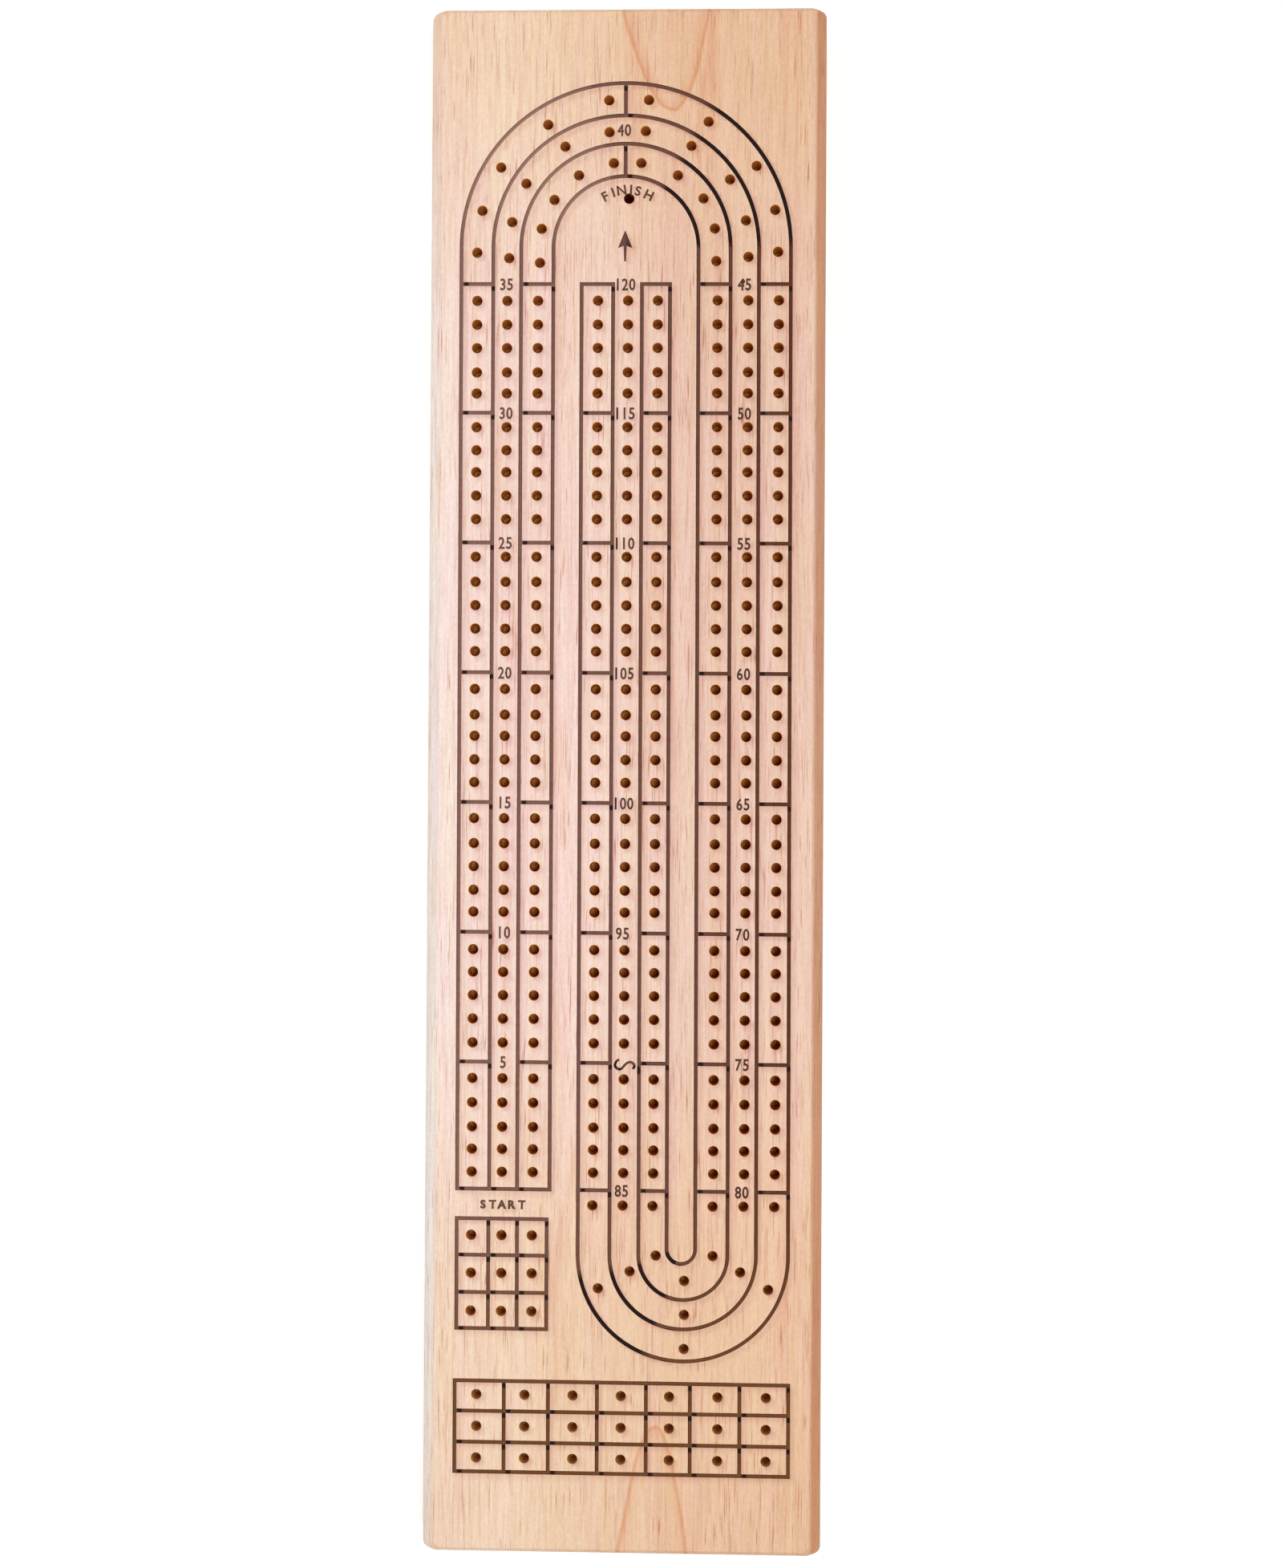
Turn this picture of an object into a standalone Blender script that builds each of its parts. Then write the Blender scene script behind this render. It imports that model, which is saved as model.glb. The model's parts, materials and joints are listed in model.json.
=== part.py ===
"""Three-track cribbage board: one solid hardwood slab drilled with 391 peg holes, and a peg store
milled into its underside, where nine turned metal pegs lie on a sliding sheet-steel cover.

Metres, +Z up. The slab stands on its underside at z = 0, its length runs along Y with the top arch
at +Y, and the origin is under its middle.
"""

import math

import bmesh
import bpy
from mathutils import Vector

# Slab
BOARD_LENGTH = 0.3704
BOARD_WIDTH = 0.09525
BOARD_THICKNESS = 0.01905

# Cut-back edges. A fullness of 1 is a flat chamfer, and 2 a quarter round
LONG_EDGE_CHAMFER = 0.0028
END_EDGE_EASING = 0.0010
CORNER_ROUNDING = 0.0020
UNDERSIDE_EASING = 0.0006
EASING_FULLNESS = 1.15
EASING_SHARES = (1.0, 0.55, 0.25, 0.0)

# Peg holes
HOLE_DIAMETER = 0.0024
HOLE_DEPTH = 0.0080
HOLE_SIDES = 6

# Three lanes side by side make one run, and three runs stand side by side
LANE_PITCH = 0.00729
RUN_PITCH = 0.02893
HOLE_PITCH = 0.00560
GROUP_PITCH = 0.03112
HOLES_IN_GROUP = 5
GROUPS_IN_RUN = 7
RUNS_MIDDLE_Y = 0.01010

# Arch over the top, from the left run to the right run: angles from straight up, outer lane first
ARCH_MIDDLE_Y = 0.12735
ARCH_ANGLES = ((7.6, 32.4, 57.1, 75.2, 91.3), (8.8, 31.5, 56.6, 76.6, 94.1), (9.2, 33.8, 56.2, 76.8, 98.4))

# Turn at the bottom, from the right run to the middle run: angles from straight down, outer lane first
TURN_MIDDLE_Y = -0.11430
TURN_ANGLES = (69.0, 75.0, 88.0)
TURN_TIGHTENING = (0.0001, 0.0006, 0.0005)
TURN_LEAD = 0.0035

# Single finishing hole, starting holes under the left run, and the counter for games won
FINISH_X = 0.00027
FINISH_Y = 0.13915
START_MIDDLE_Y = -0.11870
START_PITCH = 0.00905
START_ROWS = 3
GAMES_MIDDLE_X = -0.00013
GAMES_MIDDLE_Y = -0.15520
GAMES_PITCH_X = 0.01153
GAMES_PITCH_Y = 0.00755
GAMES_COLUMNS = 7
GAMES_ROWS = 3

# How far the holes were drilled off the even pattern, in millimetres: each lane sideways, each row along the
# board from the lowest row up, and each hole of the arch and the turn both ways. A share of 0 gives an even board
STRAY_SHARE = 1.0
LANE_STRAYS = ((0.04, 0.00, 0.12), (0.21, 0.16, 0.03), (0.01, 0.09, 0.14))
ROW_STRAYS = (
    (-0.07, -0.22, -0.50, -0.31, -0.11),
    (-0.30, -0.18, -0.16, -0.19, -0.40),
    (-0.10, -0.46, -0.41, -0.47, -0.07),
    (-0.16, -0.29, -0.23, -0.72, -0.17),
    (0.20, 0.02, 0.05, 0.09, 0.50),
    (0.84, 0.90, 0.96, 0.64, 0.59),
    (0.01, -0.53, -0.27, -0.22, -0.06),
)
ARCH_STRAYS = (
    ((0.13, -0.33), (0.13, -0.30), (0.08, -0.84), (-0.14, -0.28), (-0.22, -0.22), (0.43, -0.09), (-0.06, -0.25))
    + ((0.32, -0.27), (-0.06, -0.29), (-0.12, -0.28)),
    ((-0.11, -0.72), (-0.24, -0.49), (-0.06, -0.22), (0.08, -0.18), (-0.36, -0.39), (0.33, 0.42), (0.25, -0.46))
    + ((0.21, -0.22), (0.30, -0.38), (0.14, -0.23)),
    ((0.01, -0.97), (-0.31, -0.98), (0.19, -0.50), (-0.08, -0.60), (0.27, -0.46), (0.15, -0.23), (0.32, -0.34))
    + ((-0.17, -0.38), (0.29, -0.43), (-0.12, -0.12)),
)
TURN_STRAYS = (
    ((0.35, -0.27), (-0.02, -0.01), (0.10, 0.00), (0.20, 0.11), (0.03, 0.08)),
    ((0.38, 0.04), (0.73, -0.05), (0.05, 0.03), (0.34, 0.03), (-0.03, 0.09)),
    ((0.36, 0.94), (0.22, 0.43), (-0.09, 0.01), (0.46, 0.46), (-0.08, 0.03)),
)

# Turned pegs
PEG_LENGTH = 0.0280
PEG_SHANK_LENGTH = 0.0145
PEG_TIP_DIAMETER = 0.0017
PEG_ROOT_DIAMETER = 0.0022
PEG_TIP_ROUNDING = 0.0004
PEG_HEAD_DIAMETER = 0.0036
PEG_WAIST_DIAMETER = 0.0025
PEG_COLLAR_LENGTH = 0.0022
PEG_SHOULDER = 0.0006
PEG_DOME = 0.0008
PEG_SIDES = 10
PEGS_PER_PLAYER = 3

# Sliding cover of pressed sheet steel
COVER_THICKNESS = 0.0006
COVER_CORNER = 0.0030
COVER_SIDE_BEARING = 0.0025
COVER_END_BEARING = 0.0040
RIB_LENGTH = 0.0140
RIB_WIDTH = 0.0013
RIB_HEIGHT = 0.0008
RIB_PITCH = 0.0026
RIB_COUNT = 3
RIB_INSET = 0.0060

# Peg store in the underside
STORE_CORNER = 0.0015
STORE_WEB = 0.00145
FINGER_ROOM = 0.0140
LIP_THICKNESS = 0.0018
CORNER_STEPS = 3

# Clearances, and how far a cutter runs past the face that it cuts
SEAT_GAP = 0.0003
COVER_PLAY = 0.0003
PEG_PLAY = 0.0004
OVERRUN = 0.0010

# Sizes worked out from the ones above
STRAY_UNIT = 0.001 * STRAY_SHARE
RUNS_END_Y = RUNS_MIDDLE_Y - GROUPS_IN_RUN * GROUP_PITCH / 2
PEG_PITCH = PEG_HEAD_DIAMETER + PEG_PLAY
PLAYERS = ("brass", "nickel", "black")
PEG_COUNT = PEGS_PER_PLAYER * len(PLAYERS)
STORE_WIDTH = PEG_COUNT * PEG_PITCH - PEG_PLAY + 2 * STORE_CORNER
STORE_LENGTH = PEG_LENGTH + FINGER_ROOM
COVER_WIDTH = STORE_WIDTH + 2 * COVER_SIDE_BEARING
COVER_LENGTH = STORE_LENGTH + 2 * COVER_END_BEARING
COVER_TRAVEL = STORE_LENGTH + COVER_END_BEARING
GROOVE_WIDTH = COVER_WIDTH + 2 * COVER_PLAY
GROOVE_LENGTH = COVER_LENGTH + COVER_TRAVEL + 2 * COVER_PLAY
GROOVE_TOP = LIP_THICKNESS + SEAT_GAP + COVER_THICKNESS + SEAT_GAP
WINDOW_LENGTH = STORE_LENGTH + COVER_TRAVEL
STORE_TOP = BOARD_THICKNESS - HOLE_DEPTH - STORE_WEB
COVER_BOTTOM = LIP_THICKNESS + SEAT_GAP
COVER_TOP = COVER_BOTTOM + COVER_THICKNESS
COVER_MIDDLE_Y = COVER_TRAVEL / 2
STORE_FRONT_Y = COVER_MIDDLE_Y + STORE_LENGTH / 2
PEG_AXIS_Z = COVER_TOP + SEAT_GAP + PEG_HEAD_DIAMETER / 2


def clear_scene():
    for thing in list(bpy.data.objects):
        bpy.data.objects.remove(thing, do_unlink=True)


def finish(name, colour, metallic, roughness):
    """A surface finish of one colour, metallic share and roughness."""
    material = bpy.data.materials.new(name)
    material.use_nodes = True
    shader = material.node_tree.nodes["Principled BSDF"]
    shader.inputs["Base Color"].default_value = (*colour, 1)
    shader.inputs["Metallic"].default_value = metallic
    shader.inputs["Roughness"].default_value = roughness
    return material


def new_object(name, mesh):
    thing = bpy.data.objects.new(name, mesh)
    bpy.context.scene.collection.objects.link(thing)
    return thing


def mesh_from(bm, name):
    bmesh.ops.recalc_face_normals(bm, faces=bm.faces)
    mesh = bpy.data.meshes.new(name)
    bm.to_mesh(mesh)
    bm.free()
    return mesh


def rounded_outline(width, length, corner):
    """Points round a rectangle with rounded corners, about the origin."""
    corner = min(corner, width / 2, length / 2)
    points = []
    for quarter in range(4):
        for step in range(CORNER_STEPS + 1):
            angle = math.radians(90) * (quarter + step / CORNER_STEPS)
            side = math.radians(90) * quarter + math.radians(45)
            middle_x = math.copysign(width / 2 - corner, math.cos(side))
            middle_y = math.copysign(length / 2 - corner, math.sin(side))
            points.append((middle_x + corner * math.cos(angle), middle_y + corner * math.sin(angle)))
    return points


def add_prism(bm, points, low, high):
    """An upright prism over an outline, from one height to another."""
    face = bm.faces.new([bm.verts.new((x, y, low)) for x, y in points])
    raised = bmesh.ops.extrude_face_region(bm, geom=[face])["geom"]
    tops = [item for item in raised if isinstance(item, bmesh.types.BMVert)]
    bmesh.ops.translate(bm, verts=tops, vec=Vector((0, 0, high - low)))


def prism(name, points, low, high):
    bm = bmesh.new()
    add_prism(bm, points, low, high)
    return new_object(name, mesh_from(bm, name))


def as_helper(thing):
    """A shape that only cuts or joins another one."""
    thing.hide_render = True
    thing.display_type = "WIRE"
    return thing


def combine(thing, helper, operation):
    modifier = thing.modifiers.new(helper.name, "BOOLEAN")
    modifier.operation = operation
    modifier.solver = "EXACT"
    modifier.object = as_helper(helper)


def run_holes():
    """Every straight run: seven groups of five holes in each of its three lanes."""
    for run in (-1, 0, 1):
        for lane in (-1, 0, 1):
            x = run * RUN_PITCH + lane * LANE_PITCH + LANE_STRAYS[run + 1][lane + 1] * STRAY_UNIT
            for group in range(GROUPS_IN_RUN):
                group_y = RUNS_MIDDLE_Y + (group - (GROUPS_IN_RUN - 1) / 2) * GROUP_PITCH
                for hole in range(HOLES_IN_GROUP):
                    stray = ROW_STRAYS[group][hole] * STRAY_UNIT
                    yield x, group_y + (hole - (HOLES_IN_GROUP - 1) / 2) * HOLE_PITCH + stray


def arch_holes():
    """Ten holes a lane on the half circles that join the outer runs at the top."""
    for lane, angles, strays in zip((1, 0, -1), ARCH_ANGLES, ARCH_STRAYS):
        radius = RUN_PITCH + lane * LANE_PITCH
        holes = [(side, math.radians(angle)) for angle in angles for side in (-1, 1)]
        for (side, angle), (aside, along) in zip(holes, strays):
            x = side * radius * math.sin(angle) + aside * STRAY_UNIT
            yield x, ARCH_MIDDLE_Y + radius * math.cos(angle) + along * STRAY_UNIT


def turn_holes():
    """Five holes a lane round the turn that joins the right run to the middle run."""
    middle_x = RUN_PITCH / 2
    lanes = zip((1, 0, -1), map(math.radians, TURN_ANGLES), TURN_TIGHTENING, TURN_STRAYS)
    for lane, angle, tightening, strays in lanes:
        reach = RUN_PITCH / 2 + lane * LANE_PITCH
        radius = reach - tightening
        holes = [(middle_x, TURN_MIDDLE_Y - radius)]
        for side in (-1, 1):
            holes.append((middle_x + side * radius * math.sin(angle), TURN_MIDDLE_Y - radius * math.cos(angle)))
            holes.append((middle_x + side * reach, RUNS_END_Y - TURN_LEAD))
        for (x, y), (aside, along) in zip(holes, strays):
            yield x + aside * STRAY_UNIT, y + along * STRAY_UNIT


def block_holes(columns, rows, pitch_x, pitch_y, middle_x, middle_y):
    for column in range(columns):
        for row in range(rows):
            x = middle_x + (column - (columns - 1) / 2) * pitch_x
            yield x, middle_y + (row - (rows - 1) / 2) * pitch_y


def hole_places():
    yield from run_holes()
    yield from arch_holes()
    yield from turn_holes()
    yield from block_holes(len(PLAYERS), START_ROWS, LANE_PITCH, START_PITCH, -RUN_PITCH, START_MIDDLE_Y)
    yield from block_holes(GAMES_COLUMNS, GAMES_ROWS, GAMES_PITCH_X, GAMES_PITCH_Y, GAMES_MIDDLE_X, GAMES_MIDDLE_Y)
    yield FINISH_X, FINISH_Y


def hole_drills():
    """All drills in one shape. Their flats stand where the round hole's wall is."""
    bm = bmesh.new()
    reach = HOLE_DIAMETER / 2 / math.cos(math.pi / HOLE_SIDES)
    turn = 2 * math.pi / HOLE_SIDES
    for x, y in hole_places():
        corners = [(x + reach * math.cos(i * turn), y + reach * math.sin(i * turn)) for i in range(HOLE_SIDES)]
        add_prism(bm, corners, BOARD_THICKNESS - HOLE_DEPTH, BOARD_THICKNESS + OVERRUN)
    return new_object("hole_drills", mesh_from(bm, "hole_drills"))


def store_cutters():
    """The window through the lips, the undercut groove for the cover, and the pocket for the pegs."""
    window = prism(
        "store_window",
        rounded_outline(STORE_WIDTH, WINDOW_LENGTH, STORE_CORNER),
        -OVERRUN,
        LIP_THICKNESS + SEAT_GAP,
    )
    window.location.y = STORE_FRONT_Y - WINDOW_LENGTH / 2
    groove = prism(
        "cover_groove",
        rounded_outline(GROOVE_WIDTH, GROOVE_LENGTH, COVER_CORNER),
        LIP_THICKNESS,
        GROOVE_TOP,
    )
    groove.location.y = COVER_MIDDLE_Y + COVER_LENGTH / 2 + COVER_PLAY - GROOVE_LENGTH / 2
    pocket = prism(
        "peg_pocket",
        rounded_outline(STORE_WIDTH, STORE_LENGTH, STORE_CORNER),
        GROOVE_TOP - SEAT_GAP,
        STORE_TOP,
    )
    pocket.location.y = COVER_MIDDLE_Y
    return window, groove, pocket


def cut_back(depth, easing):
    """How far an eased edge is cut back at a depth under the face that it eases."""
    rise = max(0.0, 1 - depth / easing)
    return easing * (1 - (1 - rise**EASING_FULLNESS) ** (1 / EASING_FULLNESS))


def slab_levels():
    """Heights up the slab, with how far its long sides and its ends are cut back at each."""
    for share in reversed(EASING_SHARES):
        inset = cut_back(share * UNDERSIDE_EASING, UNDERSIDE_EASING)
        yield share * UNDERSIDE_EASING, inset, inset
    for depth in sorted({LONG_EDGE_CHAMFER, *(share * END_EDGE_EASING for share in EASING_SHARES)}, reverse=True):
        yield BOARD_THICKNESS - depth, cut_back(depth, LONG_EDGE_CHAMFER), cut_back(depth, END_EDGE_EASING)


def slab_mesh():
    """The slab as a skin over its levels, with upright corners rounded."""
    bm = bmesh.new()
    rings = []
    for height, aside, along in slab_levels():
        outline = rounded_outline(BOARD_WIDTH - 2 * aside, BOARD_LENGTH - 2 * along, CORNER_ROUNDING)
        rings.append([bm.verts.new((x, y, height)) for x, y in outline])
    for lower, upper in zip(rings, rings[1:]):
        for i in range(len(lower)):
            j = (i + 1) % len(lower)
            bm.faces.new((lower[i], lower[j], upper[j], upper[i]))
    bm.faces.new(rings[0])
    bm.faces.new(rings[-1])
    return mesh_from(bm, "board")


def make_board(wood):
    board = new_object("board", slab_mesh())
    for cutter in store_cutters():
        combine(board, cutter, "DIFFERENCE")
    combine(board, hole_drills(), "DIFFERENCE")
    board.data.materials.append(wood)
    return board


def make_cover(board, steel):
    """The plate, with pressed ribs across it for a thumb near the end that it slides towards."""
    cover = prism(
        "peg_store_cover",
        rounded_outline(COVER_WIDTH, COVER_LENGTH, COVER_CORNER),
        0,
        COVER_THICKNESS,
    )
    bm = bmesh.new()
    for rib in range(RIB_COUNT):
        y = RIB_INSET + rib * RIB_PITCH - COVER_LENGTH / 2 + COVER_END_BEARING
        points = [(px, py + y) for px, py in rounded_outline(RIB_LENGTH, RIB_WIDTH, RIB_WIDTH / 2)]
        add_prism(bm, points, -RIB_HEIGHT, COVER_THICKNESS / 2)
    combine(cover, new_object("thumb_ribs", mesh_from(bm, "thumb_ribs")), "UNION")
    cover.modifiers["thumb_ribs"].object.parent = cover
    cover.parent = board
    cover.location = (0, COVER_MIDDLE_Y, COVER_BOTTOM)
    cover.data.materials.append(steel)


def peg_profile():
    """Radius and height down the outside of a peg, from the crown of its head to its tip."""
    head = PEG_HEAD_DIAMETER / 2
    waist = PEG_WAIST_DIAMETER / 2
    collar = PEG_SHANK_LENGTH + PEG_SHOULDER
    crown = PEG_LENGTH - PEG_DOME
    return (
        (0, PEG_LENGTH),
        (waist, PEG_LENGTH),
        (head, crown),
        (head, crown - PEG_COLLAR_LENGTH),
        (waist, crown - PEG_COLLAR_LENGTH - PEG_SHOULDER),
        (waist, collar + PEG_COLLAR_LENGTH + PEG_SHOULDER),
        (head, collar + PEG_COLLAR_LENGTH),
        (head, collar),
        (PEG_ROOT_DIAMETER / 2, PEG_SHANK_LENGTH),
        (PEG_TIP_DIAMETER / 2, PEG_TIP_ROUNDING),
        (PEG_TIP_DIAMETER / 2 - PEG_TIP_ROUNDING, 0),
        (0, 0),
    )


def peg_mesh():
    """The peg's turned profile swept once round its own axis."""
    bm = bmesh.new()
    line = [bm.verts.new((radius, 0, height)) for radius, height in peg_profile()]
    for upper, lower in zip(line, line[1:]):
        bm.edges.new((upper, lower))
    bmesh.ops.spin(
        bm,
        geom=bm.verts[:] + bm.edges[:],
        cent=(0, 0, 0),
        axis=(0, 0, 1),
        angle=2 * math.pi,
        steps=PEG_SIDES,
        use_merge=True,
    )
    bmesh.ops.remove_doubles(bm, verts=bm.verts, dist=PEG_TIP_ROUNDING / 100)
    mesh = mesh_from(bm, "peg")
    mesh.shade_smooth()
    mesh.set_sharp_from_angle(angle=math.radians(25))
    return mesh


def make_pegs(board, finishes):
    """Nine pegs side by side on the cover, heads towards the end of the store that opens first."""
    turned = peg_mesh()
    for place in range(PEG_COUNT):
        player, number = divmod(place, PEGS_PER_PLAYER)
        mesh = turned.copy()
        mesh.materials.append(finishes[PLAYERS[player]])
        peg = new_object(f"peg_{PLAYERS[player]}_{number + 1}", mesh)
        peg.parent = board
        peg.rotation_euler = (math.radians(-90), 0, 0)
        x = (place - (PEG_COUNT - 1) / 2) * PEG_PITCH
        peg.location = (x, STORE_FRONT_Y - PEG_PLAY - PEG_LENGTH, PEG_AXIS_Z)


def main():
    clear_scene()
    board = make_board(finish("pale_hardwood", (0.82, 0.62, 0.46), 0.0, 0.45))
    make_cover(board, finish("sheet_steel", (0.62, 0.61, 0.59), 1.0, 0.35))
    finishes = {
        "brass": finish("polished_brass", (0.80, 0.58, 0.24), 1.0, 0.22),
        "nickel": finish("nickel_plate", (0.72, 0.70, 0.67), 1.0, 0.20),
        "black": finish("black_nickel_plate", (0.05, 0.05, 0.055), 1.0, 0.25),
    }
    make_pegs(board, finishes)


main()
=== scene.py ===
"""Looks of the three-track cribbage board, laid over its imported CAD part.

The hardwood slab is carved again here in finer detail: drilled holes with eased rims, scorched lane
lines, numbers and words, and the peg store in the underside. The sliding cover is pressed sheet steel,
and the nine pegs are turned and polished or plated.

Metres, +Z up. The board lies on its underside at z = 0 with its length along Y and the arch at +Y.
Sizes below are in millimetres times MM.
"""

import json
import math

import bmesh
import bpy
from mathutils import Matrix, Vector, noise
from mathutils.bvhtree import BVHTree


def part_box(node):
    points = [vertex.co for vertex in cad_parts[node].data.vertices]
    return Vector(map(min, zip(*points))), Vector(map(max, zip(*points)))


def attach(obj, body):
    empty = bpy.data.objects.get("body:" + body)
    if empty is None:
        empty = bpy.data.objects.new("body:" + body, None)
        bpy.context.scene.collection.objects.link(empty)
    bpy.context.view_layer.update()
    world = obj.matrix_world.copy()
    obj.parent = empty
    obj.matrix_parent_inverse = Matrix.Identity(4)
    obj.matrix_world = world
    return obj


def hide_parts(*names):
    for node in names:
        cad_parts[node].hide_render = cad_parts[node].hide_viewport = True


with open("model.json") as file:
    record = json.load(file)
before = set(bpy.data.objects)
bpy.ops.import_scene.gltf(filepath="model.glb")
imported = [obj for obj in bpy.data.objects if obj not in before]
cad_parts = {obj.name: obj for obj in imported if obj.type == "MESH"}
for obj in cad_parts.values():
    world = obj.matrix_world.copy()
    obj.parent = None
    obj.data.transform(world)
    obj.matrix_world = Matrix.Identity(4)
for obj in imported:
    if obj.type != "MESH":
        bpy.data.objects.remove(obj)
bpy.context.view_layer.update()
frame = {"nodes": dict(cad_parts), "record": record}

MM = 0.001
# A face whose normal rises at least this much is level
LEVEL = 0.9999

# Slab. Its top is a net of small faces, which carry the tint round the holes and lines
BOARD_LENGTH = 370.4 * MM
BOARD_WIDTH = 95.25 * MM
BOARD_TOP = 19.05 * MM
LONG_EDGE_CHAMFER = 2.8 * MM
END_EDGE_EASING = 1.0 * MM
CORNER_ROUNDING = 2.0 * MM
UNDERSIDE_EASING = 0.6 * MM
EASING_FULLNESS = 1.15
CHAMFER_SHARES = (1.0, 0.8, 0.6)
EASING_SHARES = (1.0, 0.75, 0.5, 0.3, 0.12, 0.0)
NET_CELL = 0.9 * MM
NET_BORDER = 4.0 * MM
BOARD_CREASE = math.radians(35)

# Drilled holes
HOLE_RADIUS = 1.2 * MM
HOLE_DEPTH = 8.0 * MM
HOLE_POINT = 0.7 * MM
HOLE_TIP = 0.12 * MM
WALL_RING_DEPTH = 3.6 * MM
RIM_EASING = 0.08 * MM
HOLE_SIDES = 24
LANE_PITCH = 7.29 * MM
RUN_PITCH = 28.93 * MM
HOLE_PITCH = 5.60 * MM
GROUP_PITCH = 31.12 * MM
RUNS_MIDDLE_Y = 10.1 * MM
RUNS_END_Y = RUNS_MIDDLE_Y - 3.5 * GROUP_PITCH
ARCH_MIDDLE_Y = 127.35 * MM
ARCH_ANGLES = ((7.6, 32.4, 57.1, 75.2, 91.3), (8.8, 31.5, 56.6, 76.6, 94.1), (9.2, 33.8, 56.2, 76.8, 98.4))
TURN_MIDDLE_Y = -114.3 * MM
TURN_ANGLES = (69.0, 75.0, 88.0)
TURN_TIGHTENING = (0.1 * MM, 0.6 * MM, 0.5 * MM)
TURN_LEAD = 3.5 * MM
FINISH_X = 0.27 * MM
FINISH_Y = 139.15 * MM
START_MIDDLE_Y = -118.7 * MM
START_PITCH = 9.05 * MM
GAMES_MIDDLE_X = -0.13 * MM
GAMES_MIDDLE_Y = -155.2 * MM
GAMES_PITCH = (11.53 * MM, 7.55 * MM)

# How far the holes stand off the even pattern, in millimetres: each lane sideways, each row along the board
# from the lowest row up, and each hole of the arch and the turn both ways. A program printed these four
# tables: it compared hole centres found in the photograph with the pattern. part.py holds the same ones.
LANE_STRAYS = ((0.04, 0.00, 0.12), (0.21, 0.16, 0.03), (0.01, 0.09, 0.14))
ROW_STRAYS = (
    (-0.07, -0.22, -0.50, -0.31, -0.11),
    (-0.30, -0.18, -0.16, -0.19, -0.40),
    (-0.10, -0.46, -0.41, -0.47, -0.07),
    (-0.16, -0.29, -0.23, -0.72, -0.17),
    (0.20, 0.02, 0.05, 0.09, 0.50),
    (0.84, 0.90, 0.96, 0.64, 0.59),
    (0.01, -0.53, -0.27, -0.22, -0.06),
)
ARCH_STRAYS = (
    (
        (0.13, -0.33), (0.13, -0.30), (0.08, -0.84), (-0.14, -0.28), (-0.22, -0.22),
        (0.43, -0.09), (-0.06, -0.25), (0.32, -0.27), (-0.06, -0.29), (-0.12, -0.28),
    ),
    (
        (-0.11, -0.72), (-0.24, -0.49), (-0.06, -0.22), (0.08, -0.18), (-0.36, -0.39),
        (0.33, 0.42), (0.25, -0.46), (0.21, -0.22), (0.30, -0.38), (0.14, -0.23),
    ),
    (
        (0.01, -0.97), (-0.31, -0.98), (0.19, -0.50), (-0.08, -0.60), (0.27, -0.46),
        (0.15, -0.23), (0.32, -0.34), (-0.17, -0.38), (0.29, -0.43), (-0.12, -0.12),
    ),
)
TURN_STRAYS = (
    ((0.35, -0.27), (-0.02, -0.01), (0.10, 0.00), (0.20, 0.11), (0.03, 0.08)),
    ((0.38, 0.04), (0.73, -0.05), (0.05, 0.03), (0.34, 0.03), (-0.03, 0.09)),
    ((0.36, 0.94), (0.22, 0.43), (-0.09, 0.01), (0.46, 0.46), (-0.08, 0.03)),
)

# Scorched lines: half width and depth, how much their edges waver and swell, their section in shares of the
# half width and the depth, and where they stand. They lie a little off the holes and lean a little.
LINE_HALF = 0.455 * MM
LINE_DEPTH = 0.42 * MM
LINE_WAVER = 0.06
LINE_SWELL = 0.12
LINE_STEP = 0.5 * MM
LINE_LEAN = -0.0018
LINE_TILT = -0.0026
LINE_SECTION = (
    (-1.12, 0.4), (-0.84, -0.66), (-0.48, -0.94), (0.0, -1.0), (0.48, -0.94), (0.84, -0.66), (1.12, 0.4),
)
RUN_LINES_X = (
    (-39.85 * MM, -32.15 * MM, -25.44 * MM, -17.66 * MM),
    (-10.84 * MM, -3.26 * MM, 3.66 * MM, 10.41 * MM),
    (17.22 * MM, 24.93 * MM, 31.72 * MM, 39.36 * MM),
)
CROSS_LINES_Y = (
    118.56 * MM, 87.51 * MM, 56.25 * MM, 25.04 * MM, -6.13 * MM, -37.26 * MM, -68.33 * MM, -98.70 * MM
)
ARCH_LINES_Y = (127.45 * MM, 127.30 * MM, 127.25 * MM, 127.15 * MM)
TURN_LINES_Y = (-114.05 * MM, -114.05 * MM, -113.92 * MM, -112.57 * MM)
CROWN_LINE_X = -0.37 * MM
START_LINES_X = (-39.9 * MM, -32.3 * MM, -25.4 * MM, -18.3 * MM)
START_LINES_Y = (-105.8 * MM, -114.5 * MM, -123.4 * MM, -132.0 * MM)
GAMES_LINES_X = (-40.2 * MM, -28.4 * MM, -17.8 * MM, -6.1 * MM, 5.6 * MM, 16.1 * MM, 27.9 * MM, 39.5 * MM)
GAMES_LINES_Y = (-144.5 * MM, -151.7 * MM, -159.1 * MM, -166.15 * MM)

# Burnt numbers and words
LETTER_DEPTH = 0.25 * MM
LETTER_WELD = 0.00001
NUMBER_HEIGHT = 2.9 * MM
NUMBER_DROP = 0.1 * MM
NUMBERS_X = (-28.98 * MM, -0.42 * MM, 28.3 * MM)
GROUP_HOLES = 5
LEFT_TOP_NUMBER = 35
RIGHT_TOP_NUMBER = 45
MIDDLE_TOP_NUMBER = 120
CURL_NUMBER = 90
ARCH_NUMBER = 40
ARCH_NUMBER_PLACE = (-0.72 * MM, 155.7 * MM)
DIGIT_PITCH = 1.74 * MM
DIGIT_NARROWING = 0.80
NUMBER_BOLDNESS = 0.024
FINISH_HEIGHT = 2.36 * MM
START_HEIGHT = 2.15 * MM
FINISH_BOLDNESS = 0.032
START_BOLDNESS = 0.058
CURL_HALF = 0.30 * MM
CURL_MIDDLE = (0.25 * MM, -68.6 * MM)
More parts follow.
